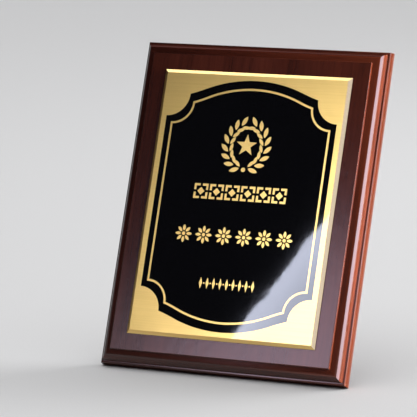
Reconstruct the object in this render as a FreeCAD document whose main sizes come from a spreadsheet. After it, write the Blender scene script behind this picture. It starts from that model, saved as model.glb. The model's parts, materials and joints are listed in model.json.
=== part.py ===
import FreeCAD, Part
import math
import os
import Sketcher

# A wooden award plaque that leans back on a folding easel leg.
#
# Board frame: X runs to the right, Z up along the board from its bottom edge, and Y to the
# back, with Y = 0 where the front panel meets the back board.
# Hinge frame: the same directions with the leg folded, and the origin on the hinge pin.
# Both frames are set in place on the table at the end: Z = 0 is the table top.

SIZES = [
    # how it stands
    ("lean_angle", 19.5),        # of the board, from upright
    ("open_angle", 36),          # of the leg, from folded
    # back board
    ("back_width", 200),
    ("back_height", 250),
    ("back_thickness", 7),
    ("back_round", 3),           # radius of the rounded edge
    # front panel and its routed edge, from the flat outwards
    ("panel_inset", 0.5),        # how far the panel stops short of the back board
    ("panel_thickness", 11),
    ("flat_round", 0.6),         # small round where the flat meets the step
    ("step_depth", 2.1),
    ("shoulder_width", 3.05),    # sloping run from the step to the ovolo
    ("shoulder_fall", 12),       # its slope, in degrees
    ("ovolo_radius", 6.5),
    ("ledge_width", 2),
    ("ledge_round", 1.2),
    # metal plate
    ("plate_width", 153),
    ("plate_height", 203),
    ("plate_thickness", 2.2),
    ("plate_rim", 0.3),          # square edge left below the bevel
    ("bevel_width", 2.6),
    ("adhesive_thickness", 0.3),
    ("adhesive_inset", 2),
    ("etch_depth", 0.35),
    ("enamel_thickness", 0.32),
    # outline of the etched field, from the middle of the plate
    ("field_half_width", 69.7),
    ("field_apex", 95.3),
    ("field_notch_height", 83),
    ("field_scallop_radius", 17.4),
    ("field_arch_radius", 105),
    ("field_arch_reach", 40),    # where the arch turns into the hollow of the ogee
    ("line_half_width", 64.5),
    ("line_apex", 88.4),
    ("line_notch_height", 76.6),
    ("line_scallop_radius", 16.2),
    ("line_arch_radius", 95),
    ("line_arch_reach", 38),
    ("line_width", 1.6),
    # hinge
    ("hinge_height", 150),       # of the pin, up the back board
    ("hinge_width", 40),
    ("leaf_thickness", 1),
    ("knuckle_radius", 2.5),     # of the fixed knuckles
    ("moving_knuckle_radius", 2.2),
    ("moving_knuckle_width", 14),
    ("knuckle_gap", 0.2),
    ("pin_radius", 1.2),
    ("pin_running_gap", 0.05),
    ("pin_head_radius", 1.9),
    ("pin_head_thickness", 0.8),
    ("fixed_leaf_height", 18),
    ("moving_leaf_height", 22),
    ("moving_leaf_width", 34),
    ("leaf_corner_radius", 3),
    ("stop_gap", 0.15),          # between the stop tab and the fixed leaf
    ("stop_reach", 6.5),
    # leg
    ("leg_thickness", 7),
    ("leg_top_gap", 3.2),        # from the pin down to the leg's top end
    ("leg_top_width", 38),
    ("leg_foot_width", 58),
    ("leg_corner_radius", 6),
    ("pad_thickness", 1.5),
    ("pad_width", 46),
    ("pad_edge", 0.4),           # of the leg's end left showing around the pad
    # felt dots that the folded leg rests on
    ("bumper_radius", 6),
    ("bumper_thickness", 1),
    ("bumper_spacing", 28),
    ("bumper_height", 34),
    # keyhole plate
    ("hanger_height", 222),      # of the entry hole's centre, up the back board
    ("hanger_width", 44),
    ("hanger_depth", 20),
    ("hanger_thickness", 1.5),
    ("keyhole_radius", 4.75),
    ("keyhole_slot", 4.6),
    ("keyhole_rise", 8),
    ("cavity_depth", 6),
    ("hanger_screw_spacing", 34),
    # screws: board, hinge and hanger
    ("board_screw_x", 80),
    ("board_screw_edge", 30),    # from the board's top and bottom edges
    ("board_screw_radius", 1.6),
    ("board_screw_head", 3.4),
    ("board_screw_length", 14),
    ("small_screw_radius", 1.1),
    ("small_screw_head", 2),
    ("small_screw_length", 6),
    ("hinge_screw_x", 12.5),
    ("fixed_screw_low", 6),
    ("fixed_screw_high", 13.5),
    ("moving_screw_low", 18),
    ("moving_screw_high", 8.5),
    ("pilot_gap", 0.05),
]
NAME_CELLS = "A{}"
VALUE_CELLS = "B{}"

doc = FreeCAD.newDocument("WoodenPlaque")


def write_sheet():
    sheet = doc.addObject("Spreadsheet::Sheet", "Sizes")
    for row, (alias, value) in enumerate(SIZES, start=1):
        sheet.set(NAME_CELLS.format(row), alias)
        sheet.set(VALUE_CELLS.format(row), str(value))
        sheet.setAlias(VALUE_CELLS.format(row), alias)
    doc.recompute()
    return sheet


sheet = write_sheet()


def size(expression):
    """The number that an expression on the sheet's cells gives."""
    return float(sheet.evalExpression(str(expression)))


def cell(text):
    """An expression in which every $name stands for that cell of the sheet."""
    return str(text).replace("$", "Sizes.")


# ---------------------------------------------------------------- sketches and features

def new_sketch(body, name, plane, offset="0"):
    """A sketch on one of the body's own origin planes, moved along the plane's normal."""
    sketch = body.newObject("Sketcher::SketchObject", name)
    support = next(f for f in body.Origin.OriginFeatures if f.Role == plane)
    sketch.AttachmentSupport = [(support, "")]
    sketch.MapMode = "FlatFace"
    sketch.setExpression("AttachmentOffset.Base.z", cell(offset))
    return sketch


def edge_between(start, end, bend):
    """A line, or where bend is (radius, side) the short arc whose centre is on that side."""
    if bend is None:
        return Part.LineSegment(start, end)
    radius, side = size(cell(bend[0])), bend[1]
    chord = end - start
    across = FreeCAD.Vector(-chord.y, chord.x, 0).normalize()
    to_centre = math.sqrt(max(radius ** 2 - (chord.Length / 2) ** 2, 0))
    bulge = across * (radius - to_centre)
    middle = (start + end) / 2
    if side == "left":
        return Part.ArcOfCircle(start, middle - bulge, end)
    return Part.ArcOfCircle(end, middle + bulge, start)


def draw_loop(sketch, corners):
    """A closed outline. Each corner is (x, y) or (x, y, bend), where x and y are expressions
    and bend shapes the edge to the next corner."""
    first = sketch.GeometryCount
    count = len(corners)
    points = [FreeCAD.Vector(size(cell(c[0])), size(cell(c[1])), 0) for c in corners]
    for i, corner in enumerate(corners):
        bend = corner[2] if len(corner) > 2 else None
        sketch.addGeometry(edge_between(points[i], points[(i + 1) % count], bend), False)

    def end_at(index, point):
        start = sketch.Geometry[index].StartPoint
        return 1 if (start - point).Length < 1e-6 else 2

    for i, corner in enumerate(corners):
        here = first + i
        previous = first + (i - 1) % count
        end = end_at(here, points[i])
        sketch.addConstraint(Sketcher.Constraint(
            "Coincident", previous, end_at(previous, points[i]), here, end))
        for kind, expression, value in (("DistanceX", corner[0], points[i].x),
                                        ("DistanceY", corner[1], points[i].y)):
            index = sketch.addConstraint(Sketcher.Constraint(kind, here, end, value))
            sketch.setExpression(f"Constraints[{index}]", cell(expression))
        if len(corner) > 2 and corner[2] is not None:
            radius = sketch.Geometry[here].Radius
            index = sketch.addConstraint(Sketcher.Constraint("Radius", here, radius))
            sketch.setExpression(f"Constraints[{index}]", cell(corner[2][0]))


def draw_circle(sketch, x, y, radius):
    centre = FreeCAD.Vector(size(cell(x)), size(cell(y)), 0)
    here = sketch.addGeometry(Part.Circle(centre, FreeCAD.Vector(0, 0, 1), size(cell(radius))), False)
    for constraint, expression in (
        (Sketcher.Constraint("DistanceX", here, 3, centre.x), x),
        (Sketcher.Constraint("DistanceY", here, 3, centre.y), y),
        (Sketcher.Constraint("Radius", here, size(cell(radius))), radius),
    ):
        sketch.setExpression(f"Constraints[{sketch.addConstraint(constraint)}]", cell(expression))


def rectangle(left, bottom, right, top):
    return [(left, bottom), (right, bottom), (right, top), (left, top)]


def rounded_rectangle(left, bottom, right, top, radius):
    bend = (radius, "left")
    return [
        (f"{left} + {radius}", bottom), (f"{right} - {radius}", bottom, bend),
        (right, f"{bottom} + {radius}"), (right, f"{top} - {radius}", bend),
        (f"{right} - {radius}", top), (f"{left} + {radius}", top, bend),
        (left, f"{top} - {radius}"), (left, f"{bottom} + {radius}", bend),
    ]


def new_body(name):
    body = doc.addObject("PartDesign::Body", name)
    body.Label = name
    return body


def pad(body, sketch, length, both_ways=False, reverse=False):
    feature = body.newObject("PartDesign::Pad", sketch.Name + "_pad")
    feature.Profile = sketch
    feature.Midplane = both_ways
    feature.Reversed = reverse
    feature.setExpression("Length", cell(length))
    return feature


def cut(body, make_feature):
    """Adds a cutting feature and turns it round if it points away from the solid."""
    doc.recompute()
    before = body.Shape.Volume
    feature = make_feature()
    doc.recompute()
    if body.Shape.Volume > before - 1e-6:
        feature.Reversed = True
        doc.recompute()
    if body.Shape.Volume > before - 1e-6:
        raise RuntimeError(f"{feature.Name} cuts nothing")
    return feature


def pocket(body, sketch, depth=None, both_ways=False):
    """Cuts the sketch to a depth, or right through."""
    def make():
        feature = body.newObject("PartDesign::Pocket", sketch.Name + "_pocket")
        feature.Profile = sketch
        feature.Midplane = both_ways
        if depth is None:
            feature.Type = "ThroughAll"
        else:
            feature.Type = "Length"
            feature.setExpression("Length", cell(depth))
        return feature
    return cut(body, make)


def countersunk_holes(body, sketch, radius, head_radius):
    """A countersunk hole right through the body at each circle of the sketch."""
    def make():
        feature = body.newObject("PartDesign::Hole", sketch.Name + "_hole")
        feature.Profile = sketch
        doc.recompute()
        feature.Threaded = False
        feature.DepthType = "ThroughAll"
        feature.setExpression("Diameter", cell(f"2 * ({radius})"))
        feature.HoleCutType = "Countersink"
        feature.setExpression("HoleCutDiameter", cell(f"2 * ({head_radius})"))
        feature.HoleCutCountersinkAngle = 90
        return feature
    return cut(body, make)


# ---------------------------------------------------------------- the two wooden boards

def routed_board(name, half_width, bottom, top, back, profile):
    """A board with the same profile along all four edges, mitred at the corners.

    profile runs from the back face to the front: (inward, forward, radius of the round to the
    next point, or None). The section is padded along the board's width, then the two ends are
    cut to the same profile."""
    body = new_body(name)
    lower = [(f"{back} - ({forward})", f"{bottom} + ({inward})", radius and (radius, "right"))
             for inward, forward, radius in profile]
    radii = [None] + [radius for _, _, radius in profile[:-1]]
    upper = [(f"{back} - ({forward})", f"{top} - ({inward})", radius and (radius, "right"))
             for (inward, forward, _), radius in reversed(list(zip(profile, radii)))]
    section = new_sketch(body, name + "_section", "YZ_Plane")
    draw_loop(section, lower + upper)
    pad(body, section, f"2 * ({half_width})", both_ways=True)

    ends = new_sketch(body, name + "_ends", "XY_Plane")
    first_in, last_in, last_forward = profile[0][0], profile[-1][0], profile[-1][1]
    for sign, side in ((1, "right"), (-1, "left")):
        edge = [(f"{sign} * ({half_width} - ({inward}))", f"{back} - ({forward})",
                 radius and (radius, side)) for inward, forward, radius in profile]
        clear = [
            (f"{sign} * ({half_width} - ({last_in}))", f"{back} - ({last_forward}) - 1"),
            (f"{sign} * ({half_width} + 1)", f"{back} - ({last_forward}) - 1"),
            (f"{sign} * ({half_width} + 1)", f"{back} + 1"),
            (f"{sign} * ({half_width} - ({first_in}))", f"{back} + 1"),
        ]
        draw_loop(ends, edge + clear)
    pocket(body, ends, both_ways=True)
    return body


BOARD_SCREWS = [(x, z) for x in ("-$board_screw_x", "$board_screw_x")
                for z in ("$board_screw_edge", "$back_height - $board_screw_edge")]
FIXED_LEAF_SCREWS = [(x, z) for x in ("-$hinge_screw_x", "$hinge_screw_x")
                     for z in ("$fixed_screw_low", "$fixed_screw_high")]
MOVING_LEAF_SCREWS = [(x, z) for x in ("-$hinge_screw_x", "$hinge_screw_x")
                      for z in ("-$moving_screw_low", "-$moving_screw_high")]
HANGER_MIDDLE = "($hanger_height + $keyhole_rise / 2 - 1)"
HANGER_SCREWS = [(x, HANGER_MIDDLE) for x in ("-$hanger_screw_spacing / 2", "$hanger_screw_spacing / 2")]


def pilot_holes(body, name, offset, places, radius, depth):
    """Blind round holes for screws, from a plane that faces the front or the back."""
    sketch = new_sketch(body, name, "XZ_Plane", offset)
    for x, z in places:
        draw_circle(sketch, x, z, f"{radius} + $pilot_gap")
    pocket(body, sketch, depth)


def make_front_panel():
    step_foot = "$panel_thickness - $step_depth"
    ovolo_top = f"{step_foot} - $shoulder_width * tan($shoulder_fall)"
    ledge = f"{ovolo_top} - $ovolo_radius * cos($shoulder_fall)"
    ovolo_end = "$ledge_width + $ovolo_radius * (1 - sin($shoulder_fall))"
    flat_edge = f"{ovolo_end} + $shoulder_width"
    profile = [
        ("0", "0", None),
        ("0", f"{ledge} - $ledge_round", "$ledge_round"),
        ("$ledge_round", ledge, None),
        ("$ledge_width", ledge, "$ovolo_radius"),
        (ovolo_end, ovolo_top, None),
        (flat_edge, step_foot, None),
        (flat_edge, "$panel_thickness - $flat_round", "$flat_round"),
        (f"{flat_edge} + $flat_round", "$panel_thickness", None),
    ]
    body = routed_board("front_panel", "($back_width / 2 - $panel_inset)", "$panel_inset",
                        "($back_height - $panel_inset)", "0", profile)
    reach = "$board_screw_length - $back_thickness + 4 * $pilot_gap"
    pilot_holes(body, "panel_pilots", "0", BOARD_SCREWS, "$board_screw_radius", reach)
    return body


def make_back_board():
    profile = [
        ("$back_round", "0", "$back_round"),
        ("0", "$back_round", None),
        ("0", "$back_thickness - $back_round", "$back_round"),
        ("$back_round", "$back_thickness", None),
    ]
    body = routed_board("back_board", "($back_width / 2)", "0", "$back_height", "$back_thickness", profile)
    back_face = "-$back_thickness"

    seats = new_sketch(body, "board_screw_seats", "XZ_Plane", back_face)
    for x, z in BOARD_SCREWS:
        draw_circle(seats, x, z, "$board_screw_radius + $pilot_gap")
    countersunk_holes(body, seats, "$board_screw_radius + $pilot_gap", "$board_screw_head + $pilot_gap")

    hinge_places = [(x, f"$hinge_height + {z}") for x, z in FIXED_LEAF_SCREWS]
    pilot_holes(body, "hinge_pilots", back_face, hinge_places, "$small_screw_radius",
                "$small_screw_length - $leaf_thickness + 4 * $pilot_gap")

    recess = new_sketch(body, "hanger_recess", "XZ_Plane", back_face)
    draw_loop(recess, rounded_rectangle("-$hanger_width / 2", f"{HANGER_MIDDLE} - $hanger_depth / 2",
                                        "$hanger_width / 2", f"{HANGER_MIDDLE} + $hanger_depth / 2",
                                        "$leaf_corner_radius"))
    pocket(body, recess, "$hanger_thickness")
    cavity = new_sketch(body, "screw_head_cavity", "XZ_Plane", back_face)
    side = "$keyhole_radius + 1.5"
    draw_loop(cavity, rectangle(f"-({side})", f"{HANGER_MIDDLE} - $hanger_depth / 2 + 1.5",
                                side, f"{HANGER_MIDDLE} + $hanger_depth / 2 - 1.5"))
    pocket(body, cavity, "$cavity_depth")
    pilot_holes(body, "hanger_pilots", back_face, HANGER_SCREWS, "$small_screw_radius",
                "$small_screw_length + 4 * $pilot_gap")
    return body


# ---------------------------------------------------------------- metal plate and its relief

PLATE_BACK = "$panel_thickness + $adhesive_thickness"
PLATE_FRONT = f"{PLATE_BACK} + $plate_thickness"
PLATE_MIDDLE = "$back_height / 2"


def plate_rectangle(inset):
    return rectangle(f"-$plate_width / 2 + {inset}", f"{PLATE_MIDDLE} - $plate_height / 2 + {inset}",
                     f"$plate_width / 2 - ({inset})", f"{PLATE_MIDDLE} + $plate_height / 2 - ({inset})")


def make_adhesive():
    body = new_body("plate_adhesive")
    sketch = new_sketch(body, "adhesive_outline", "XZ_Plane", "$panel_thickness")
    draw_loop(sketch, plate_rectangle("$adhesive_inset"))
    pad(body, sketch, "$adhesive_thickness")
    return body


def make_plate_blank():
    """The plate before it is etched: a thin square rim and a bevel up to the flat front."""
    body = new_body("plate_blank")
    rim = new_sketch(body, "plate_rim_outline", "XZ_Plane", PLATE_BACK)
    draw_loop(rim, plate_rectangle("0"))
    pad(body, rim, "$plate_rim")
    foot = new_sketch(body, "bevel_foot", "XZ_Plane", f"{PLATE_BACK} + $plate_rim")
    draw_loop(foot, plate_rectangle("0"))
    top = new_sketch(body, "bevel_top", "XZ_Plane", PLATE_FRONT)
    draw_loop(top, plate_rectangle("$bevel_width"))
    bevel = body.newObject("PartDesign::AdditiveLoft", "bevel")
    bevel.Profile = foot
    bevel.Sections = [top]
    bevel.Ruled = True
    return body


def point(x, y):
    return FreeCAD.Vector(x, y, 0)


def polar(angle, length):
    return point(length * math.cos(math.radians(angle)), length * math.sin(math.radians(angle)))


def arc(start, through, end):
    return Part.Arc(start, through, end).toShape()


def face_of(edges):
    return Part.Face(Part.Wire(Part.__sortEdges__(edges)))


def polygon(points):
    return Part.Face(Part.makePolygon(points + points[:1]))


def tangent_arc(start, direction, end):
    """The arc that leaves start along direction and reaches end."""
    chord = end - start
    normal = point(-direction.y, direction.x).normalize()
    radius = chord.Length ** 2 / (2 * chord.dot(normal))
    centre = start + normal * radius
    through = centre + ((start + end) / 2 - centre).normalize() * abs(radius)
    return arc(start, through, end)


def shield_outline(kind):
    """The wire of a field: straight sides, a hollow quarter round at each corner, and an ogee
    arch at the top and bottom. kind is the prefix of its cells in the sheet."""
    half_width, apex, notch_height, scallop, arch, reach = (
        size(cell(f"${kind}_{name}")) for name in
        ("half_width", "apex", "notch_height", "scallop_radius", "arch_radius", "arch_reach"))
    shoulder = point(reach, apex - arch + math.sqrt(arch ** 2 - reach ** 2))
    notch = point(half_width - scallop, notch_height)
    side_end = point(half_width, notch_height - scallop)
    slope = math.asin(reach / arch)
    hollow = tangent_arc(shoulder, point(math.cos(slope), -math.sin(slope)), notch)
    corner = arc(notch, point(half_width, notch_height) - polar(45, scallop), side_end)
    top_right = [hollow, corner]
    top = [edge.mirror(point(0, 0), point(1, 0)) for edge in top_right] + top_right
    top.append(arc(point(-shoulder.x, shoulder.y), point(0, apex), shoulder))
    bottom = [edge.mirror(point(0, 0), point(0, 1)) for edge in top]
    sides = [Part.makeLine(point(x, -side_end.y), point(x, side_end.y))
             for x in (-side_end.x, side_end.x)]
    return Part.Wire(Part.__sortEdges__(top + bottom + sides))


def leaf(base, angle, length, width):
    """A pointed leaf between two arcs."""
    along, across = polar(angle, length), polar(angle + 90, width / 2)
    tip, middle = base + along, base + along / 2
    return face_of([arc(base, middle + across, tip), arc(tip, middle - across, base)])


def star(centre, outer, inner, count=5):
    corners = []
    for i in range(count):
        corners.append(centre + polar(90 + 360 * i / count, outer))
        corners.append(centre + polar(90 + 360 * (i + 0.5) / count, inner))
    return polygon(corners)


def lozenge(centre, width, height):
    return polygon([centre + point(width / 2, 0), centre + point(0, height / 2),
                    centre - point(width / 2, 0), centre - point(0, height / 2)])


def bar(left, bottom, right, top):
    return polygon([point(left, bottom), point(right, bottom), point(right, top), point(left, top)])


def disc(centre, radius):
    return Part.Face(Part.Wire(Part.makeCircle(radius, centre)))


def wreath(centre):
    """Two leafy branches that almost meet at the top, round a five-pointed star."""
    half_width, half_height = 14.2, 16.4
    leaves_each, lowest, highest = 8, -76, 66
    shapes = [star(centre + point(0, 0.8), 8.6, 3.5), disc(centre - point(0, half_height + 1.2), 1.7)]
    for i in range(leaves_each):
        turn = math.radians(lowest + (highest - lowest) * i / (leaves_each - 1))
        stem = point(half_width * math.cos(turn), half_height * math.sin(turn))
        heading = math.degrees(math.atan2(half_height * math.cos(turn), -half_width * math.sin(turn)))
        for spread, length, width, offset in ((-34, 8.2, 3.3, 0.7), (30, 6.6, 2.6, -0.7)):
            base = stem + polar(heading - 90, offset)
            shapes.append(leaf(centre + base, heading + spread, length, width))
            mirrored = point(-base.x, base.y)
            shapes.append(leaf(centre + mirrored, 180 - heading - spread, length, width))
    return shapes


def coffer(centre, side):
    """A square frame, open at the middle of each side, round a lozenge."""
    stroke, opening = side * 0.15, side * 0.16
    high = side / 2
    corner = [(opening / 2, high - stroke, high, high), (high - stroke, opening / 2, high, high)]
    shapes = [lozenge(point(0, 0), side * 0.52, side * 0.52)]
    for left, bottom, right, top in corner:
        shapes += [bar(left, bottom, right, top), bar(-right, bottom, -left, top),
                   bar(left, -top, right, -bottom), bar(-right, -top, -left, -bottom)]
    for shape in shapes:
        shape.translate(centre)
    return shapes


def rosette(centre, radius, petals=8):
    shapes = [disc(centre, radius * 0.2)]
    for i in range(petals):
        angle = 360 * i / petals
        shapes.append(leaf(centre + polar(angle, radius * 0.3), angle, radius * 0.7, radius * 0.34))
    return shapes


def ornaments():
    """The raised ornaments on the field, as faces about the middle of the plate."""
    shapes = wreath(point(-0.2, 45))
    for i in range(6):
        shapes += coffer(point((i - 2.5) * 12.8, 9.5), 11.4)
        shapes += rosette(point((i - 2.5) * 16.4, -23.4), 6.8)
    lozenges = 9
    for i in range(lozenges):
        centre = point((i - (lozenges - 1) / 2) * 5.3, -59.5)
        shapes.append(lozenge(centre, 2.6, 8.6))
        if i:
            shapes.append(lozenge(centre - point(5.3 / 2, 0), 1.6, 1.6))
    return shapes


def on_the_plate(shape):
    """Turns a flat shape upright on the plate's front."""
    shape.Placement = FreeCAD.Placement(
        FreeCAD.Vector(0, -size(cell(PLATE_FRONT)), size(cell(PLATE_MIDDLE))),
        FreeCAD.Rotation(FreeCAD.Vector(1, 0, 0), 90))
    return shape


def make_relief():
    """The floors of the two etched recesses: the field inside the inset line, less its
    ornaments, and the band between the line and the field's outline."""
    half_line = size("Sizes.line_width / 2")
    line = shield_outline("line")
    sharp_corners = 2
    inner_edge = line.makeOffset2D(-half_line, sharp_corners)
    outer_edge = line.makeOffset2D(half_line, sharp_corners)
    raised = ornaments()
    field = Part.Face(inner_edge).cut(raised[0].fuse(raised[1:]))
    border = Part.Face(shield_outline("field")).cut(Part.Face(outer_edge))
    floors = {}
    for name, shape in (("field_floor", field), ("border_floor", border)):
        floors[name] = doc.addObject("Part::Feature", name)
        floors[name].Shape = on_the_plate(shape)
    return floors["field_floor"], floors["border_floor"]


def extrude(name, base, length, start="0"):
    """The recess or its filling: base pushed towards the back."""
    feature = doc.addObject("Part::Extrusion", name)
    feature.Base = base
    feature.DirMode = "Custom"
    feature.Dir = FreeCAD.Vector(0, 1, 0)
    feature.Solid = True
    feature.setExpression("LengthFwd", cell(length))
    feature.setExpression("LengthRev", cell(f"-({start})"))
    return feature


def make_plate_and_enamel():
    blank = make_plate_blank()
    field_floor, border_floor = make_relief()
    recesses = doc.addObject("Part::Compound", "recesses")
    recesses.Links = [extrude("field_recess", field_floor, "$etch_depth"),
                      extrude("border_recess", border_floor, "$etch_depth")]
    plate = doc.addObject("Part::Cut", "face_plate")
    plate.Base = blank
    plate.Tool = recesses
    surface = "$etch_depth - $enamel_thickness"
    return [plate, extrude("enamel_field", field_floor, "$etch_depth", surface),
            extrude("enamel_border", border_floor, "$etch_depth", surface)]


# ---------------------------------------------------------------- hinge, in the hinge frame

MOVING_LEAF_FACE = "-$moving_knuckle_radius"      # the moving leaf's side that faces the board
LEG_FRONT = "-$moving_knuckle_radius + $leaf_thickness"
KNUCKLE_SIDE = "$moving_knuckle_width / 2 + $knuckle_gap"


def bore(body, name, radius):
    """A hole along the hinge pin, right through."""
    sketch = new_sketch(body, name, "YZ_Plane")
    draw_circle(sketch, "0", "0", radius)
    pocket(body, sketch, both_ways=True)


def leaf_screw_holes(body, name, face, places):
    sketch = new_sketch(body, name, "XZ_Plane", face)
    for x, z in places:
        draw_circle(sketch, x, z, "$small_screw_radius + $pilot_gap")
    countersunk_holes(body, sketch, "$small_screw_radius + $pilot_gap", "$small_screw_head + $pilot_gap")


def make_fixed_leaf():
    body = new_body("hinge_leaf_fixed")
    plate = new_sketch(body, "fixed_leaf_outline", "XZ_Plane", "$knuckle_radius")
    corner = "$leaf_corner_radius"
    half, top = "$hinge_width / 2", "$fixed_leaf_height"
    draw_loop(plate, [
        (f"-({half})", "0"), (half, "0"),
        (half, f"{top} - {corner}", (corner, "left")), (f"{half} - {corner}", top),
        (f"-({half}) + {corner}", top, (corner, "left")), (f"-({half})", f"{top} - {corner}"),
    ])
    pad(body, plate, "$leaf_thickness", reverse=True)
    barrel = new_sketch(body, "fixed_barrel", "YZ_Plane")
    draw_circle(barrel, "0", "0", "$knuckle_radius")
    pad(body, barrel, "$hinge_width", both_ways=True)
    gap = new_sketch(body, "knuckle_space", "XZ_Plane", "$knuckle_radius + 1")
    draw_loop(gap, rectangle(f"-({KNUCKLE_SIDE})", "-$knuckle_radius - 1",
                             KNUCKLE_SIDE, "$knuckle_radius + 0.3"))
    pocket(body, gap)
    bore(body, "fixed_bore", "$pin_radius")
    leaf_screw_holes(body, "fixed_leaf_holes", "$knuckle_radius - $leaf_thickness", FIXED_LEAF_SCREWS)
    return body


def make_moving_leaf():
    """The leg's leaf, with one knuckle and a tab that meets the fixed leaf when the leg is open."""
    body = new_body("hinge_leaf_moving")
    plate = new_sketch(body, "moving_leaf_outline", "XZ_Plane", "$moving_knuckle_radius")
    corner = "$leaf_corner_radius"
    half, bottom = "$moving_leaf_width / 2", "-$moving_leaf_height"
    shoulder, tongue = "-$leg_top_gap", "$moving_knuckle_width / 2"
    draw_loop(plate, [
        (f"-({half}) + {corner}", bottom), (f"{half} - {corner}", bottom, (corner, "left")),
        (half, f"{bottom} + {corner}"), (half, shoulder), (tongue, shoulder), (tongue, "0"),
        (f"-({tongue})", "0"), (f"-({tongue})", shoulder), (f"-({half})", shoulder),
        (f"-({half})", f"{bottom} + {corner}", (corner, "left")),
    ])
    pad(body, plate, "$leaf_thickness", reverse=True)
    barrel = new_sketch(body, "moving_barrel", "YZ_Plane")
    draw_circle(barrel, "0", "0", "$moving_knuckle_radius")
    pad(body, barrel, "$moving_knuckle_width", both_ways=True)

    tab = new_sketch(body, "stop_tab", "YZ_Plane")
    tab_face = "-$knuckle_radius + $leaf_thickness + $stop_gap"
    tab_foot = "$pin_radius + $pin_running_gap + 0.2"
    corners = [(tab_face, tab_foot), (f"{tab_face} + $leaf_thickness", tab_foot),
               (f"{tab_face} + $leaf_thickness", "$stop_reach"), (tab_face, "$stop_reach")]
    turn = "$open_angle"
    draw_loop(tab, [(f"({y}) * cos({turn}) + ({z}) * sin({turn})",
                     f"-({y}) * sin({turn}) + ({z}) * cos({turn})") for y, z in corners])
    pad(body, tab, "$moving_knuckle_width - 1", both_ways=True)
    bore(body, "moving_bore", "$pin_radius + $pin_running_gap")
    leaf_screw_holes(body, "moving_leaf_holes", "$moving_knuckle_radius", MOVING_LEAF_SCREWS)
    return body


def make_pin():
    """The hinge pin with a peened head at each end."""
    body = new_body("hinge_pin")
    profile = new_sketch(body, "pin_profile", "XY_Plane")
    shoulder = "$hinge_width / 2 + 0.05"
    end = f"{shoulder} + $pin_head_thickness"
    chamfer = "$pin_head_thickness / 2"
    draw_loop(profile, [
        (f"-({end})", "0"), (end, "0"), (end, f"$pin_head_radius - {chamfer}"),
        (f"{end} - {chamfer}", "$pin_head_radius"),
        (shoulder, "$pin_head_radius"), (shoulder, "$pin_radius"),
        (f"-({shoulder})", "$pin_radius"), (f"-({shoulder})", "$pin_head_radius"),
        (f"-({end}) + {chamfer}", "$pin_head_radius"), (f"-({end})", f"$pin_head_radius - {chamfer}"),
    ])
    turn = body.newObject("PartDesign::Revolution", "pin_turned")
    turn.Profile = profile
    turn.ReferenceAxis = (profile, ["H_Axis"])
    turn.Angle = 360
    return body


# ---------------------------------------------------------------- leg, in the hinge frame

BOARD_RISE = ("($back_round + ($back_thickness - $back_round) * sin($lean_angle)"
              " - $back_round * cos($lean_angle))")
PIN_RISE = (f"({BOARD_RISE} + $hinge_height * cos($lean_angle)"
            " - ($back_thickness + $knuckle_radius) * sin($lean_angle))")
SPLAY = "($open_angle - $lean_angle)"             # of the open leg, from upright


def leg_end(y):
    """Height of the leg's end face, which lies level when the leg is open."""
    return f"-({PIN_RISE} - $pad_thickness + ({y}) * sin({SPLAY})) / cos({SPLAY})"


def make_leg():
    body = new_body("support_leg")
    back = f"{LEG_FRONT} + $leg_thickness"
    outline = new_sketch(body, "leg_outline", "XZ_Plane", f"-({LEG_FRONT})")
    top, foot, corner = "$leg_top_width / 2", "$leg_foot_width / 2", "$leg_corner_radius"
    bottom = leg_end(back)
    draw_loop(outline, [
        (f"-({foot}) + {corner}", bottom), (f"{foot} - {corner}", bottom, (corner, "left")),
        (foot, f"{bottom} + {corner}"), (top, "-$leg_top_gap"), (f"-({top})", "-$leg_top_gap"),
        (f"-({foot})", f"{bottom} + {corner}", (corner, "left")),
    ])
    pad(body, outline, "$leg_thickness", reverse=True)
    waste = new_sketch(body, "leg_end_waste", "YZ_Plane")
    draw_loop(waste, [(LEG_FRONT, leg_end(LEG_FRONT)), (f"{LEG_FRONT} - 1", f"{bottom} - 1"),
                      (back, bottom)])
    pocket(body, waste, both_ways=True)
    pilot_holes(body, "leg_pilots", f"-({LEG_FRONT})", MOVING_LEAF_SCREWS, "$small_screw_radius",
                "$small_screw_length - $leaf_thickness + 4 * $pilot_gap")
    return body


def make_foot_pad():
    body = new_body("leg_foot_pad")
    section = new_sketch(body, "pad_section", "YZ_Plane")
    front, back = f"{LEG_FRONT} + $pad_edge", f"{LEG_FRONT} + $leg_thickness - $pad_edge"
    down_y, down_z = f"$pad_thickness * sin({SPLAY})", f"$pad_thickness * cos({SPLAY})"
    draw_loop(section, [
        (front, leg_end(front)), (f"{front} - {down_y}", f"{leg_end(front)} - {down_z}"),
        (f"{back} - {down_y}", f"{leg_end(back)} - {down_z}"), (back, leg_end(back)),
    ])
    pad(body, section, "$pad_width", both_ways=True)
    return body


def make_bumper(name, sign):
    body = new_body(name)
    sketch = new_sketch(body, name + "_outline", "XZ_Plane", "-$back_thickness")
    draw_circle(sketch, f"{sign} * $bumper_spacing / 2", "$bumper_height", "$bumper_radius")
    pad(body, sketch, "$bumper_thickness", reverse=True)
    return body


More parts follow.
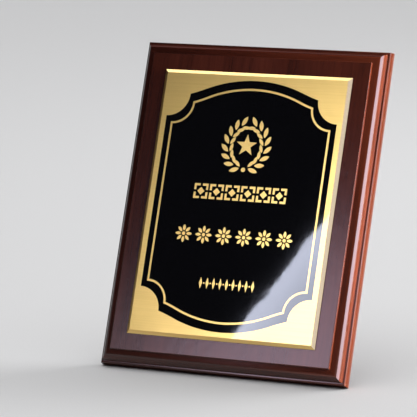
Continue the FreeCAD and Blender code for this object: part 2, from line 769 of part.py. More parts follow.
def make_hanger():
    """The keyhole plate: a round entry for a screw's head, and a slot above it for the shank."""
    body = new_body("hanger_plate")
    outline = new_sketch(body, "hanger_outline", "XZ_Plane", "-$back_thickness")
    edge = "$pilot_gap"
    draw_loop(outline, rounded_rectangle(
        f"-$hanger_width / 2 + {edge}", f"{HANGER_MIDDLE} - $hanger_depth / 2 + {edge}",
        f"$hanger_width / 2 - {edge}", f"{HANGER_MIDDLE} + $hanger_depth / 2 - {edge}",
        "$leaf_corner_radius"))
    pad(body, outline, "$hanger_thickness")
    entry = new_sketch(body, "keyhole_entry", "XZ_Plane", "-$back_thickness")
    draw_circle(entry, "0", "$hanger_height", "$keyhole_radius")
    pocket(body, entry)
    slot = new_sketch(body, "keyhole_slot", "XZ_Plane", "-$back_thickness")
    half, top = "$keyhole_slot / 2", "$hanger_height + $keyhole_rise"
    crown = "$keyhole_slot * sqrt(0.5) / 2"
    draw_loop(slot, [
        (f"-{half}", "$hanger_height"), (half, "$hanger_height"), (half, top, (half, "left")),
        (crown, f"{top} + {crown}", (half, "left")), (f"-{crown}", f"{top} + {crown}", (half, "left")),
        (f"-{half}", top),
    ])
    pocket(body, slot)
    leaf_screw_holes(body, "hanger_holes", "-$back_thickness", HANGER_SCREWS)
    return body


# ---------------------------------------------------------------- screws

def make_screw(name, radius, head, length):
    """One countersunk cross-head screw, with its head's top at the origin and its point down."""
    body = new_body(name)
    profile = new_sketch(body, name + "_profile", "XZ_Plane")
    tip = "0.2"
    draw_loop(profile, [
        ("0", "0"), (head, "0"), (radius, f"-({head} - {radius})"),
        (radius, f"-{length} + 2 * {radius}"), (tip, f"-{length}"), ("0", f"-{length}"),
    ])
    turn = body.newObject("PartDesign::Revolution", name + "_turned")
    turn.Profile = profile
    turn.ReferenceAxis = (profile, ["V_Axis"])
    turn.Angle = 360
    arm, half_slot = f"{head} * 0.62", f"{head} * 0.13"
    for number, (x, y) in enumerate(((arm, half_slot), (half_slot, arm))):
        slot = new_sketch(body, f"{name}_slot_{number}", "XY_Plane")
        draw_loop(slot, rectangle(f"-{x}", f"-{y}", x, y))
        pocket(body, slot, f"{head} * 0.22")
    return body


def screw_group(name, screw, places, face, towards):
    """Copies of one screw, heads flush with a face. towards is +1 where they point to the back."""
    links = []
    for number, (x, z) in enumerate(places, start=1):
        link = doc.addObject("App::Link", f"{name}_{number}")
        link.LinkedObject = screw
        link.LinkPlacement = FreeCAD.Placement(
            FreeCAD.Vector(size(cell(x)), size(cell(face)), size(cell(z))),
            FreeCAD.Rotation(FreeCAD.Vector(1, 0, 0), 90 * towards))
        links.append(link)
    group = doc.addObject("Part::Compound", name)
    group.Links = links
    return group


def make_screw_groups():
    board_screw = make_screw("board_screw", "$board_screw_radius", "$board_screw_head",
                             "$board_screw_length")
    small_screw = make_screw("small_screw", "$small_screw_radius", "$small_screw_head",
                             "$small_screw_length")
    doc.recompute()
    on_board = [
        screw_group("board_screws", board_screw, BOARD_SCREWS, "$back_thickness", -1),
        screw_group("hanger_screws", small_screw, HANGER_SCREWS, "$back_thickness", -1),
    ]
    on_hinge = [screw_group("hinge_screws_board", small_screw, FIXED_LEAF_SCREWS,
                            "-$knuckle_radius + $leaf_thickness", -1)]
    on_leg = [screw_group("hinge_screws_leg", small_screw, MOVING_LEAF_SCREWS, MOVING_LEAF_FACE, 1)]
    return on_board, on_hinge, on_leg


# ---------------------------------------------------------------- assembly

def turned(angle):
    return FreeCAD.Placement(FreeCAD.Vector(0, 0, 0), FreeCAD.Rotation(FreeCAD.Vector(1, 0, 0), angle))


def moved(y, z):
    return FreeCAD.Placement(FreeCAD.Vector(0, y, z), FreeCAD.Rotation())


def depth_range(pieces):
    """The lowest and highest Y of the pieces, from their exact boxes."""
    boxes = [piece.Shape.optimalBoundingBox(False, False) for piece in pieces]
    return min(box.YMin for box in boxes), max(box.YMax for box in boxes)


def stand_up(on_board, on_hinge, on_leg):
    """Leans the plaque back on its open leg, with its middle over the origin."""
    def place(shift):
        board = moved(shift, size(cell(BOARD_RISE))) * turned(-size("Sizes.lean_angle"))
        hinge = board * moved(size("Sizes.back_thickness + Sizes.knuckle_radius"),
                              size("Sizes.hinge_height"))
        leg = hinge * turned(size("Sizes.open_angle"))
        for pieces, placement in ((on_board, board), (on_hinge, hinge), (on_leg, leg)):
            for piece in pieces:
                piece.Placement = placement
        doc.recompute()
        return hinge.Base

    place(0)
    low, high = depth_range(on_board + on_hinge + on_leg)
    return place(-(low + high) / 2)


def check(pieces):
    for item in doc.Objects:
        if "Invalid" in item.State or "Error" in item.State:
            raise RuntimeError(f"{item.Label} failed: {item.State}")
    for piece in pieces:
        if piece.Shape.isNull() or not piece.Shape.isValid() or not piece.Shape.Solids:
            raise RuntimeError(f"{piece.Label} has no valid solid")


def main():
    board_screws, hinge_screws, leg_screws = make_screw_groups()
    on_board = [make_front_panel(), make_back_board(), make_adhesive(), *make_plate_and_enamel(),
                make_bumper("leg_bumper_left", -1), make_bumper("leg_bumper_right", 1),
                make_hanger(), *board_screws]
    on_hinge = [make_fixed_leaf(), make_pin(), *hinge_screws]
    on_leg = [make_leg(), make_moving_leaf(), make_foot_pad(), *leg_screws]
    doc.recompute()
    pin = stand_up(on_board, on_hinge, on_leg)
    pieces = on_board + on_hinge + on_leg
    check(pieces)
    os.makedirs("parts", exist_ok=True)
    for piece in pieces:
        piece.Shape.exportStep(f"parts/{piece.Label}.step")
        print(f"{piece.Label:20s} {piece.Shape.Volume:10.1f} mm3")
    print(f"hinge pin at y {pin.y:.4f}, z {pin.z:.4f}")
    low, high = depth_range(pieces)
    print(f"depth {low:.3f} to {high:.3f}, splay {size(cell(SPLAY)):.2f} degrees")


main()
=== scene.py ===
import json
import math
import random

import bmesh
import bpy
from mathutils import Matrix, Vector


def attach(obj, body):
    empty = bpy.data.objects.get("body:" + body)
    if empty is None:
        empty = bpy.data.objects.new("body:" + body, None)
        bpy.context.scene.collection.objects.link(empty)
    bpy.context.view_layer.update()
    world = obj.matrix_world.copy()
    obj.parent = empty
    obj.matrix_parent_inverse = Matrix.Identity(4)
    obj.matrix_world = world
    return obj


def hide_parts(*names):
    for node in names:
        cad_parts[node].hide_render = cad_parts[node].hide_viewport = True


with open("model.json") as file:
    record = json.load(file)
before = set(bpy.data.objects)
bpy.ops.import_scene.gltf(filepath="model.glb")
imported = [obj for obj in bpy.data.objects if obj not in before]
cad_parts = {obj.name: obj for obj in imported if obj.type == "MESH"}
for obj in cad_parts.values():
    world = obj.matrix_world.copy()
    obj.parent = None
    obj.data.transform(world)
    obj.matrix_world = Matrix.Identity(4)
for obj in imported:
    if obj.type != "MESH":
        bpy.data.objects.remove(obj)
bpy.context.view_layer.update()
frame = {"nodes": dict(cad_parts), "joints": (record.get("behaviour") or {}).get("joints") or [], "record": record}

# A wooden award plaque that leans back on its folding leg, on a plain pale floor.
#
# Board frame: millimetres, X to the right, Z up along the board from its bottom edge, Y to the
# back, with Y = 0 where the front panel meets the back board. Every mesh is written straight
# into the world frame, in metres, as the CAD nodes are. Lights and the camera are placed in
# metres. Noise scales are per millimetre on the plaque and per metre on the floor.

MM = 0.001
UP = Vector((0, 0, 1))
RECORD = frame["record"]
NODES = frame["nodes"]

# sizes that the CAD model has, in millimetres and degrees
BOARD_HEIGHT = 250
PANEL_WIDTH, PANEL_HEIGHT, PANEL_THICKNESS = 199, 249, 11
LEDGE_WIDTH, LEDGE_ROUND = 2, 1.2
OVOLO_RADIUS = 6.5
SHOULDER_WIDTH, SHOULDER_FALL = 3.05, 12
STEP_DEPTH = 2.1
FLAT_ROUND = 0.6
PLATE_WIDTH, PLATE_HEIGHT = 153, 203
PLATE_FRONT = -13.5
BACK_THICKNESS = 7
BUMPER_RADIUS, BUMPER_THICKNESS = 6, 1
BUMPER_HEIGHT = 34
BUMPER_X = {"leg_bumper_left": -14, "leg_bumper_right": 14}
PIN_IN_BOARD = Vector((0, 9.5, 150))
OPEN_ANGLE = math.radians(36)

FELT_SPOKES = 72
FELT_RAGGED = 0.975          # the least share of its radius that a felt dot's rim keeps
# a felt dot's side, as shares of its radius and of its thickness
FELT_PROFILE = [(1.0, 0.0), (1.0, 0.45), (0.985, 0.68), (0.95, 0.84), (0.88, 0.92),
                (0.6, 0.97), (0.3, 0.995)]
LEG_ARRIS, PAD_ARRIS, SHEET_ARRIS = 0.7, 0.35, 0.08
WELD_WITHIN = 1e-6           # metres
FLAT_WITHIN, ARRIS_OVER = math.radians(0.5), math.radians(40)


def find(rows, name):
    """The row of that name."""
    return next(row for row in rows if row["name"] == name)


hanger_axis = find(RECORD["mounts"], "wall_screw_keyhole")["axis"]
LEAN = math.atan2(-hanger_axis[2], hanger_axis[1])
BOARD_TURN = Matrix.Rotation(-LEAN, 3, "X")
PIN = Vector(find(frame["joints"], "leg_fold")["pos_m"])
BOARD_ORIGIN = PIN - BOARD_TURN @ PIN_IN_BOARD * MM


def on_board(x, y, z):
    """The world place of a point of the board frame."""
    return BOARD_ORIGIN + BOARD_TURN @ Vector((x, y, z)) * MM


# ---------------------------------------------------------------- materials

def add(tree, kind, inputs=None, **settings):
    """A node, its settings, and its inputs: a socket is linked and a number is set."""
    node = tree.nodes.new(kind)
    for key, value in settings.items():
        setattr(node, key, value)
    for key, value in (inputs or {}).items():
        if isinstance(value, bpy.types.NodeSocket):
            tree.links.new(value, node.inputs[key])
        else:
            node.inputs[key].default_value = value
    return node


def ramp(tree, factor, stops):
    """A colour ramp's output; stops are (place, colour)."""
    node = add(tree, "ShaderNodeValToRGB", {"Fac": factor})
    elements = node.color_ramp.elements
    while len(elements) < len(stops):
        elements.new(0.5)
    for element, (place, colour) in zip(elements, stops):
        element.position = place
        element.color = (*colour, 1)
    return node.outputs["Color"]


def grey(level):
    return (level, level, level)


def mixed(tree, factor, first, second, blend="MIX"):
    """Two colours mixed; the factor and each colour may be a value or a socket."""
    node = add(tree, "ShaderNodeMix", data_type="RGBA", blend_type=blend)
    mix_factor, mix_first, mix_second, mix_colour = 0, 6, 7, 2
    for index, value in ((mix_factor, factor), (mix_first, first), (mix_second, second)):
        if isinstance(value, bpy.types.NodeSocket):
            tree.links.new(value, node.inputs[index])
        elif index == mix_factor:
            node.inputs[index].default_value = value
        else:
            node.inputs[index].default_value = (*value, 1)
    return node.outputs[mix_colour]


def coordinates(tree, tilt, stretch=(1, 1, 1)):
    """The piece's own coordinates in millimetres, turned upright, then stretched."""
    own = add(tree, "ShaderNodeTexCoord").outputs["Object"]
    upright = add(tree, "ShaderNodeMapping", {
        "Vector": own, "Rotation": (tilt, 0, 0), "Scale": (1 / MM,) * 3}).outputs[0]
    return add(tree, "ShaderNodeMapping", {"Vector": upright, "Scale": stretch}).outputs[0]


def noise(tree, where, scale, detail, roughness, distortion=0):
    return add(tree, "ShaderNodeTexNoise", {
        "Vector": where, "Scale": scale, "Detail": detail, "Roughness": roughness,
        "Distortion": distortion}).outputs["Fac"]


def bump(tree, height, strength, distance):
    """A normal from a height; the distance is in metres."""
    return add(tree, "ShaderNodeBump", {
        "Height": height, "Strength": strength, "Distance": distance}).outputs[0]


def new_material(name):
    """A material with one principled shader, its node tree, and the shader."""
    material = bpy.data.materials.new(name)
    material.use_nodes = True
    tree = material.node_tree
    tree.nodes.clear()
    shader = tree.nodes.new("ShaderNodeBsdfPrincipled")
    output = tree.nodes.new("ShaderNodeOutputMaterial")
    tree.links.new(shader.outputs[0], output.inputs["Surface"])
    return material, tree, shader


def fill(tree, shader, **sockets):
    """Sets or links the shader's sockets; an underscore in a name stands for a space."""
    for name, value in sockets.items():
        socket = shader.inputs[name.replace("_", " ")]
        if isinstance(value, bpy.types.NodeSocket):
            tree.links.new(value, socket)
        elif socket.type == "RGBA":
            socket.default_value = (*value, 1)
        else:
            socket.default_value = value


def wood_material(name, tilt, grain, dark, mid, light, coat, coat_roughness):
    """Stained, lacquered wood; grain is the stretch of each axis, least along the fibres."""
    material, tree, shader = new_material(name)
    along = coordinates(tree, tilt, grain)
    figure = noise(tree, along, scale=0.055, detail=4, roughness=0.55, distortion=0.6)
    streaks = noise(tree, along, scale=0.42, detail=5, roughness=0.62, distortion=0.3)
    pores = noise(tree, along, scale=1.9, detail=2, roughness=0.5)
    body = ramp(tree, figure, [(0.32, dark), (0.5, mid), (0.72, light)])
    lines = ramp(tree, streaks, [(0.36, grey(0.82)), (0.52, grey(1.0)), (0.7, grey(1.12))])
    specks = ramp(tree, pores, [(0.3, grey(0.7)), (0.43, grey(1.0))])
    colour = mixed(tree, 1.0, body, lines, "MULTIPLY")
    colour = mixed(tree, 0.75, colour, specks, "MULTIPLY")
    wood_normal = bump(tree, pores, strength=0.12, distance=0.00008)
    level = coordinates(tree, tilt)
    ripple = noise(tree, level, scale=0.16, detail=2, roughness=0.5)
    lacquer_normal = bump(tree, ripple, strength=0.10, distance=0.0004)
    fill(tree, shader, Base_Color=colour, Roughness=ramp(tree, streaks, [
        (0.3, grey(0.6)), (0.7, grey(0.5))]), Normal=wood_normal, Specular_IOR_Level=0.0,
        Coat_Weight=coat, Coat_Roughness=coat_roughness, Coat_IOR=1.5,
        Coat_Normal=lacquer_normal)
    return material


def metal_material(name, tilt, colour, shade, roughness, brush, brush_scale, brush_depth,
                   coat=0.0):
    """Metal with a brushed or drawn finish; brush is the stretch of each axis."""
    material, tree, shader = new_material(name)
    lines_at = coordinates(tree, tilt, brush)
    lines = noise(tree, lines_at, brush_scale, detail=3, roughness=0.55)
    level = coordinates(tree, tilt)
    cloud = noise(tree, level, scale=0.05, detail=3, roughness=0.5)
    tone = mixed(tree, ramp(tree, lines, [(0.4, grey(0)), (0.6, grey(1))]), shade, colour)
    tone = mixed(tree, 0.5, tone, ramp(tree, cloud, [(0.3, grey(0.86)), (0.7, grey(1.0))]),
                 "MULTIPLY")
    swing = 0.015 * roughness    # how far the brush lines change the roughness
    rough = ramp(tree, lines, [(0.42, grey(roughness + swing)),
                               (0.58, grey(roughness - swing))])
    fill(tree, shader, Base_Color=tone, Metallic=1.0, Roughness=rough,
         Normal=bump(tree, lines, strength=0.35, distance=brush_depth))
    if coat:
        fill(tree, shader, Coat_Weight=coat, Coat_Roughness=0.02, Coat_IOR=1.5)
    return material


def enamel_material(name):
    """Gloss enamel, almost black, with a trace of dust and a very slight ripple."""
    material, tree, shader = new_material(name)
    level = coordinates(tree, LEAN)
    dust = noise(tree, level, scale=0.9, detail=3, roughness=0.6)
    ripple = noise(tree, level, scale=0.045, detail=2, roughness=0.5)
    colour = ramp(tree, dust, [(0.35, (0.0022, 0.0022, 0.003)), (0.8, (0.0042, 0.0042, 0.0056))])
    fill(tree, shader, Base_Color=colour, Roughness=ramp(tree, dust, [
        (0.3, grey(0.018)), (0.8, grey(0.04))]), IOR=1.7,
        Normal=bump(tree, ripple, strength=0.05, distance=0.0004))
    return material


def soft_material(name, tilt, dark, light, scale, roughness, sheen, depth):
    """Felt, foam or rubber: a mottled, slightly rough surface."""
    material, tree, shader = new_material(name)
    level = coordinates(tree, tilt)
    fine = noise(tree, level, scale, detail=5, roughness=0.7)
    coarse = noise(tree, level, scale * 0.12, detail=2, roughness=0.5)
    colour = ramp(tree, fine, [(0.3, dark), (0.7, light)])
    colour = mixed(tree, 0.6, colour, ramp(tree, coarse, [(0.3, grey(0.7)), (0.7, grey(1.1))]),
                   "MULTIPLY")
    fill(tree, shader, Base_Color=colour, Roughness=roughness, Sheen_Weight=sheen,
         Sheen_Roughness=0.5, Normal=bump(tree, fine, strength=0.6, distance=depth))
    return material


LEG_TILT = LEAN - OPEN_ANGLE
UPRIGHT_GRAIN = (1, 1, 0.07)
LEVEL_GRAIN = (0.07, 1, 1)
MAHOGANY = dict(dark=(0.029, 0.0060, 0.0033), mid=(0.045, 0.0098, 0.0054),
                light=(0.062, 0.0140, 0.0079))
wood_upright = wood_material("mahogany_upright_grain", LEAN, UPRIGHT_GRAIN, **MAHOGANY,
                             coat=1.0, coat_roughness=0.17)
wood_level = wood_material("mahogany_level_grain", LEAN, LEVEL_GRAIN, **MAHOGANY,
                           coat=1.0, coat_roughness=0.17)
wood_leg = wood_material("mahogany_leg", LEG_TILT, UPRIGHT_GRAIN, dark=(0.034, 0.0085, 0.005),
                         mid=(0.062, 0.0155, 0.009), light=(0.095, 0.026, 0.014), coat=0.35,
                         coat_roughness=0.38)
gold = metal_material("brushed_gold_aluminium", LEAN, colour=(0.90, 0.60, 0.19),
                      shade=(0.86, 0.565, 0.172), roughness=0.28, brush=(0.014, 1, 1),
                      brush_scale=1.0, brush_depth=0.000003, coat=1.0)
zinc = metal_material("zinc_plated_steel", LEAN, colour=(0.62, 0.63, 0.64),
                      shade=(0.42, 0.43, 0.45), roughness=0.32, brush=(1, 1, 0.3),
                      brush_scale=1.2, brush_depth=0.00003)
brass = metal_material("brassed_steel", LEAN, colour=(0.78, 0.58, 0.28),
                       shade=(0.56, 0.40, 0.18), roughness=0.28, brush=(0.08, 1, 1),
                       brush_scale=1.6, brush_depth=0.00003)
enamel = enamel_material("black_enamel_gloss")
felt = soft_material("felt_black", LEAN, dark=(0.014, 0.014, 0.015),
                     light=(0.050, 0.049, 0.050), scale=2.2, roughness=0.95, sheen=0.6,
                     depth=0.0003)
rubber = soft_material("rubber_black", LEG_TILT, dark=(0.012, 0.012, 0.013),
                       light=(0.030, 0.030, 0.032), scale=1.4, roughness=0.72, sheen=0.1,
                       depth=0.0001)
foam = soft_material("adhesive_foam", LEAN, dark=(0.035, 0.035, 0.036),
                     light=(0.070, 0.070, 0.071), scale=2.0, roughness=0.9, sheen=0.0,
                     depth=0.0001)

NODE_LOOKS = {
    "back_board": wood_upright, "front_panel": wood_upright, "support_leg": wood_leg,
    "face_plate": gold, "enamel_field": enamel, "enamel_border": enamel,
    "board_screws": zinc, "hanger_plate": zinc, "hanger_screws": zinc,
    "hinge_leaf_fixed": brass, "hinge_leaf_moving": brass, "hinge_pin": brass,
    "hinge_screws_board": brass, "hinge_screws_leg": brass,
    "leg_bumper_left": felt, "leg_bumper_right": felt, "leg_foot_pad": rubber,
    "plate_adhesive": foam,
}
for node_name, look in NODE_LOOKS.items():
    for slot in NODES[node_name].material_slots:
        slot.material = look


# ---------------------------------------------------------------- pieces

def new_piece(name, points, faces, looks, face_looks=None):
    """A mesh object from world points in metres, with its faces' materials."""
    mesh = bpy.data.meshes.new(name)
    mesh.from_pydata([tuple(point) for point in points], [], faces)
    for look in looks:
        mesh.materials.append(look)
    if face_looks:
        mesh.polygons.foreach_set("material_index", face_looks)
    piece = bpy.data.objects.new(name, mesh)
    bpy.context.scene.collection.objects.link(piece)
    return piece


def smooth(piece, angle):
    """Smooth shading, with edges sharper than the angle, in degrees, left sharp."""
    mesh = piece.data
    mesh.polygons.foreach_set("use_smooth", [True] * len(mesh.polygons))
    mesh.set_sharp_from_angle(angle=math.radians(angle))
    mesh.update()


def arc(centre_x, centre_y, radius, start, end, count):
    """Points on an arc; the angles are in degrees."""
    turns = [math.radians(start + (end - start) * i / count) for i in range(count + 1)]
    return [(centre_x + radius * math.cos(t), centre_y + radius * math.sin(t)) for t in turns]


def routed_profiles():
    """The moulding's and the raised field's edges as (distance in from the edge, Y)."""
    fall = math.radians(SHOULDER_FALL)
    step_foot = STEP_DEPTH - PANEL_THICKNESS
    ovolo_top = step_foot + SHOULDER_WIDTH * math.tan(fall)
    ledge = ovolo_top + OVOLO_RADIUS * math.cos(fall)
    ovolo_middle = LEDGE_WIDTH + OVOLO_RADIUS
    flat_edge = ovolo_middle - OVOLO_RADIUS * math.sin(fall) + SHOULDER_WIDTH
    rim = [(0, 0)]
    seam = flat_edge + FLAT_ROUND
    rim += arc(LEDGE_ROUND, ledge + LEDGE_ROUND, LEDGE_ROUND, 180, 270, count=8)
    rim += arc(ovolo_middle, ledge, OVOLO_RADIUS, 180, 270 - SHOULDER_FALL, count=28)
    rim += [(flat_edge, step_foot)]
    rim += arc(seam, FLAT_ROUND - PANEL_THICKNESS, FLAT_ROUND, 180, 270, count=6)
    rim += [(seam, 0)]
    field = [(seam, 0), (seam, -PANEL_THICKNESS)]
    return rim, field


def mitred(name, profile, closed):
    """A profile run round the board's four sides and met in mitres, in two grain directions."""
    upright, level = 0, 1        # places in the piece's list of looks
    points, faces, looks = [], [], []
    for inset, y in profile:
        half = PANEL_WIDTH / 2 - inset
        low = (BOARD_HEIGHT - PANEL_HEIGHT) / 2 + inset
        high = BOARD_HEIGHT - low
        points += [on_board(*p) for p in (
            (-half, y, low), (half, y, low), (half, y, high), (-half, y, high))]
    rows = len(profile)
    for row in range(rows if closed else rows - 1):
        for side in range(4):
            a, b = row * 4 + side, row * 4 + (side + 1) % 4
            c, d = (row + 1) % rows * 4 + (side + 1) % 4, (row + 1) % rows * 4 + side
            faces.append((a, b, c, d))
            looks.append(upright if side % 2 else level)
    if not closed:
        last = len(points) - 4
        faces += [(last, last + 1, last + 2, last + 3), (3, 2, 1, 0)]
        looks += [upright, upright]
    piece = new_piece(name, points, faces, [wood_upright, wood_level], looks)
    smooth(piece, angle=40)
    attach(piece, "root")
    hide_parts("front_panel")
    return piece


def make_front_panel():
    """The raised field, and the moulding that is routed round it."""
    rim, field = routed_profiles()
    return [mitred("front_panel_moulding", rim, closed=True),
            mitred("front_panel_field", field, closed=False)]


def softened(node, name, look, body, width, segments):
    """A copy of a CAD node's shape with every sharp arris rounded off, width in millimetres."""
    shape = bmesh.new()
    shape.from_mesh(NODES[node].data)
    bmesh.ops.remove_doubles(shape, verts=shape.verts, dist=WELD_WITHIN)
    bmesh.ops.dissolve_limit(shape, angle_limit=FLAT_WITHIN, verts=shape.verts,
                             edges=shape.edges)
    sharp = [e for e in shape.edges
             if len(e.link_faces) == 2 and e.calc_face_angle(0) > ARRIS_OVER]
    bmesh.ops.bevel(shape, geom=sharp, offset=width * MM, offset_type="OFFSET",
                    segments=segments, profile=0.5, affect="EDGES", clamp_overlap=True)
    mesh = bpy.data.meshes.new(name)
    shape.to_mesh(mesh)
    shape.free()
    mesh.materials.clear()
    mesh.materials.append(look)
    piece = bpy.data.objects.new(name, mesh)
    bpy.context.scene.collection.objects.link(piece)
    smooth(piece, angle=35)
    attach(piece, body)
    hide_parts(node)


def make_bumper(node, seed):
    """A felt dot punched from sheet: crowned, with a soft rim that is a little ragged."""
    chance = random.Random(seed)
    spokes = FELT_SPOKES
    ragged = [chance.uniform(FELT_RAGGED, 1.0) for _ in range(spokes)]
    points, faces = [], []
    for reach, rise in FELT_PROFILE:
        for spoke in range(spokes):
            turn = math.tau * spoke / spokes
            radius = BUMPER_RADIUS * reach * (1 - (1 - ragged[spoke]) * reach ** 4)
            points.append(on_board(BUMPER_X[node] + radius * math.cos(turn),
                                   BACK_THICKNESS + BUMPER_THICKNESS * rise,
                                   BUMPER_HEIGHT + radius * math.sin(turn)))
    for ring in range(len(FELT_PROFILE) - 1):
        for spoke in range(spokes):
            a, b = ring * spokes + spoke, ring * spokes + (spoke + 1) % spokes
            faces.append((a, a + spokes, b + spokes, b))
    top = len(points)
    points.append(on_board(BUMPER_X[node], BACK_THICKNESS + BUMPER_THICKNESS, BUMPER_HEIGHT))
    last = (len(FELT_PROFILE) - 1) * spokes
    faces += [(last + spoke, top, last + (spoke + 1) % spokes) for spoke in range(spokes)]
    faces.append(tuple(range(spokes)))
    piece = new_piece(node + "_felt", points, faces, [felt])
    smooth(piece, angle=50)
    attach(piece, "root")
    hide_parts(node)


for seed, node_name in enumerate(BUMPER_X):
    make_bumper(node_name, seed)
softened("leg_foot_pad", "leg_foot_pad_rounded", rubber, "leg", PAD_ARRIS, 3)
softened("plate_adhesive", "plate_adhesive_sheet", foam, "root", SHEET_ARRIS, 2)
softened("support_leg", "support_leg_rounded", wood_leg, "leg", LEG_ARRIS, 3)
moulding_piece, field_piece = make_front_panel()


# ---------------------------------------------------------------- floor, lights and camera

LIGHT_UNIT = 4               # a panel shows as its power over four times its area
SOFTBOX_REACH, CARD_REACH = 1.5, 1.2   # metres from the plaque
TO_BACK = Vector((0, 1, 0))
GOLDEN = [NODES["face_plate"]]
PLATED = GOLDEN + [NODES["enamel_field"], NODES["enamel_border"]]
WOODEN = [NODES["back_board"], moulding_piece, field_piece]
WORLD_PALE, WORLD_DARK = (0.66, 0.66, 0.67), (0.020, 0.020, 0.024)
PALE_UP_TO, DARK_FROM = 0.07, 0.13     # the Z of a ray's direction


def make_floor():
    """A disc of pale paper, so wide that its rim is never seen."""
    reach, sides = 30, 96
    points = [(reach * math.cos(t), reach * math.sin(t), 0)
              for t in (math.tau * i / sides for i in range(sides))]
    material, tree, shader = new_material("floor_paper")
    own = add(tree, "ShaderNodeTexCoord").outputs["Object"]
    fine = noise(tree, own, scale=900, detail=3, roughness=0.6)
    fill(tree, shader, Base_Color=ramp(tree, fine, [(0.3, (0.74, 0.74, 0.745)),
                                                    (0.7, (0.80, 0.80, 0.805))]),
         Roughness=0.6, Specular_IOR_Level=0.2)
    floor = new_piece("floor", points, [tuple(range(sides))], [material])
    return floor


def make_camera():
    """The photo's camera, a long lens to the right of the plaque and a little above it."""
    azimuth, elevation = math.radians(25.03), math.radians(8.46)
    distance, lens, sensor = 2.1693, 252.84604, 36.0
    # how far left of and below the board's middle the camera looks
    aim_left, aim_down = 0.02281291, 0.00140729
    middle = on_board(0, -PANEL_THICKNESS, BOARD_HEIGHT / 2)
    back = Vector((math.sin(azimuth) * math.cos(elevation),
                   -math.cos(azimuth) * math.cos(elevation), math.sin(elevation)))
    right = Vector((math.cos(azimuth), math.sin(azimuth), 0))
    place = middle + back * distance
    aim = middle - right * aim_left - back.cross(right) * aim_down
    data = bpy.data.cameras.new("camera")
    data.sensor_width = sensor
    data.lens = lens
    data.clip_start, data.clip_end = 0.05, 60
    camera = bpy.data.objects.new("camera", data)
    camera.rotation_mode = "QUATERNION"
    camera.location = place
    camera.rotation_quaternion = (aim - place).to_track_quat("-Z", "Y")
    bpy.context.scene.collection.objects.link(camera)
    bpy.context.scene.camera = camera
    return camera


def link_to(light, receivers):
    """Lets a light reach only these parts."""
    reached = bpy.data.collections.new(light.name + "_reaches")
    for part in receivers:
        reached.objects.link(part)
    light.light_linking.receiver_collection = reached


def area_light(name, place, target, size, radiance, colour, up=UP, diffuse=True, glossy=True,
               receivers=()):
    """A soft panel that faces its target; its size is along its right and along up.

    It shows as bright as its radiance, from any distance.
    """
    light = bpy.data.lights.new(name, "AREA")
    light.shape = "RECTANGLE"
    light.size, light.size_y = size
    light.energy = radiance * size[0] * size[1] * LIGHT_UNIT
    light.color = colour
    holder = bpy.data.objects.new(name, light)
    bpy.context.scene.collection.objects.link(holder)
    toward = (target - place).normalized()
    right = toward.cross(up).normalized()
    true_up = right.cross(toward)
    turn = Matrix((right, true_up, -toward)).transposed().to_4x4()
    holder.matrix_world = Matrix.Translation(place) @ turn
    holder.visible_camera = False
    holder.visible_diffuse = diffuse
    holder.visible_glossy = glossy
    if receivers:
        link_to(holder, receivers)
    return holder


def fade_across(holder):
    """Dims a light from one long side to the other, as a bounced softbox does."""
    light = holder.data
    light.use_nodes = True
    tree = light.node_tree
    across = add(tree, "ShaderNodeNewGeometry").outputs["Parametric"]
    parts = add(tree, "ShaderNodeSeparateXYZ", {0: across})
    level = ramp(tree, parts.outputs["X"], [
        (0.0, grey(0.5)), (0.6, grey(0.55)), (0.86, grey(0.72)), (1.0, grey(1.0))])
    tree.links.new(level, tree.nodes["Emission"].inputs["Strength"])


def plate_point(u, v):
    """A point in the plane of the plate's front, from its middle: u to the right and v up."""
    return on_board(u, PLATE_FRONT, BOARD_HEIGHT / 2 + v)


def seen_in_plate(eye, point, reach):
    """Where the eye looks to by way of a point on the polished plate."""
    normal = BOARD_TURN @ Vector((0, -1, 0))
    ray = (point - eye).normalized()
    return point + (ray - 2 * ray.dot(normal) * normal) * reach


def make_softboxes(eye):
    """What the front mirrors: the softbox, a dimmer one for the wood, and a low reflector."""
    # the softbox's edge crosses the enamel from the plate's right side to its bottom edge
    right, bottom = PLATE_WIDTH / 2, -PLATE_HEIGHT / 2
    first = seen_in_plate(eye, plate_point(right, -1.5), SOFTBOX_REACH)
    second = seen_in_plate(eye, plate_point(11.5, bottom), SOFTBOX_REACH)
    inside = seen_in_plate(eye, plate_point(right, bottom), SOFTBOX_REACH)
    edge = (second - first).normalized()
    middle = (first + second) / 2
    across = inside - middle
    across = (across - across.dot(edge) * edge).normalized()
    width, height, slip = 0.24, 0.44, 0.013
    target = plate_point(40, -60)
    softbox = area_light(
        "softbox", middle + across * width / 2 - edge * slip, target, size=(width, height),
        radiance=8.6, colour=(0.775, 0.817, 1), up=edge, receivers=PLATED)
    fade_across(softbox)
    area_light(
        "wood_softbox", seen_in_plate(eye, plate_point(62, -130), SOFTBOX_REACH), target,
        size=(0.26, 0.36), radiance=3.9, colour=(1, 0.78, 1), up=edge, receivers=WOODEN)
    area_light(
        "low_reflector", seen_in_plate(eye, plate_point(0, -145), SOFTBOX_REACH),
        plate_point(0, -115), size=(0.42, 0.14), radiance=1.3, colour=(1, 0.8, 0.95),
        diffuse=False, receivers=WOODEN)


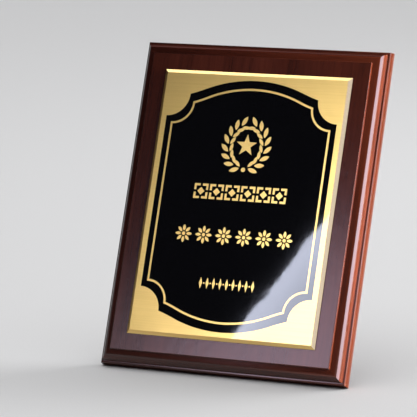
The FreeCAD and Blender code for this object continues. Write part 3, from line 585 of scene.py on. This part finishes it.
def make_side_lights():
    """The lights on the right, for the moulding's right side, the gold and the wood's colour."""
    side = on_board(95, -7, BOARD_HEIGHT / 2)
    # the card spans what the moulding's curved right side mirrors, and a little more
    near = side + Vector((0.4158, -0.7904, 0.4501)) * CARD_REACH
    far = side + Vector((0.9746, -0.0934, 0.2033)) * CARD_REACH
    along = far - near
    upright = UP - along * (along.z / along.length_squared)
    overlap = 1.12
    area_light(
        "side_reflector", (near + far) / 2, side, size=(along.length * overlap, 0.48),
        radiance=11, colour=(0.74, 0.80, 0.96), up=upright, diffuse=False,
        receivers=[moulding_piece])
    area_light(
        "plate_reflector", side + Vector((0.722, -0.583, 0.376)) * CARD_REACH, side,
        size=(0.5, 0.8), radiance=1.9, colour=(0.42, 0.50, 1), diffuse=False,
        receivers=GOLDEN)
    area_light(
        "side_fill", side + Vector((0.97, 0.12, 0.18)) * CARD_REACH, side, size=(0.5, 0.7),
        radiance=108, colour=(1, 0.84, 0.5), glossy=False, receivers=WOODEN)
    area_light(
        "graze_fill", Vector((0.45, -0.25, 0.2)), side, size=(0.2, 0.5), radiance=7,
        colour=(1, 0.9, 0.8), glossy=False, receivers=WOODEN)


def make_cards():
    """The wash over the gold, and the cards above and behind."""
    plate_middle, plate_top = plate_point(0, 0), plate_point(0, 100)
    rim_top = plate_point(0, 120)
    area_light(
        "plate_wash", plate_middle + Vector((-0.13, -0.89, 0.41)) * SOFTBOX_REACH,
        plate_middle, size=(0.55, 0.5), radiance=2.2, colour=(0.92, 0.97, 1),
        diffuse=False, receivers=GOLDEN)
    area_light(
        "plate_top_card", plate_top + Vector((-0.42, 0.18, 0.89)) * CARD_REACH, plate_top,
        size=(0.6, 0.25), radiance=3, colour=(1, 0.97, 0.9), up=TO_BACK, diffuse=False,
        receivers=GOLDEN)
    area_light(
        "rim_top_card", rim_top + Vector((-0.42, 0.35, 0.84)) * CARD_REACH, rim_top,
        size=(0.7, 0.3), radiance=0.45, colour=(1, 0.65, 0.7), up=TO_BACK, diffuse=False,
        receivers=[moulding_piece])
    area_light(
        "wood_top_fill", Vector((0.1, 0.25, 1.3)), on_board(0, 0, BOARD_HEIGHT),
        size=(0.8, 0.4), radiance=6, colour=(1, 0.85, 0.85), up=TO_BACK, glossy=False,
        receivers=WOODEN)
    area_light(
        "back_light", Vector((1.3, 1.6, 1.5)), Vector((0, 0, 0.12)), size=(1.4, 1.4),
        radiance=3, colour=(1, 1, 1))


def make_floor_wash(floor):
    """A very broad sun that only the floor takes."""
    sun = bpy.data.lights.new("floor_wash", "SUN")
    sun.energy = 2.35
    sun.angle = math.radians(100)
    wash = bpy.data.objects.new("floor_wash", sun)
    bpy.context.scene.collection.objects.link(wash)
    link_to(wash, [floor])


def make_world():
    """Pale below and just above the horizon, dark higher up."""
    world = bpy.data.worlds.new("studio")
    bpy.context.scene.world = world
    world.use_nodes = True
    tree = world.node_tree
    way = add(tree, "ShaderNodeTexCoord").outputs["Generated"]
    parts = add(tree, "ShaderNodeSeparateXYZ", {0: way})
    high = add(tree, "ShaderNodeMapRange", {
        "Value": parts.outputs["Z"], "From Min": PALE_UP_TO, "From Max": DARK_FROM},
        interpolation_type="SMOOTHSTEP").outputs[0]
    colour = mixed(tree, high, WORLD_PALE, WORLD_DARK)
    tree.links.new(colour, tree.nodes["Background"].inputs["Color"])


camera = make_camera()
floor = make_floor()
make_world()
make_softboxes(camera.location)
make_side_lights()
make_cards()
make_floor_wash(floor)
bpy.context.scene.view_settings.view_transform = "Standard"
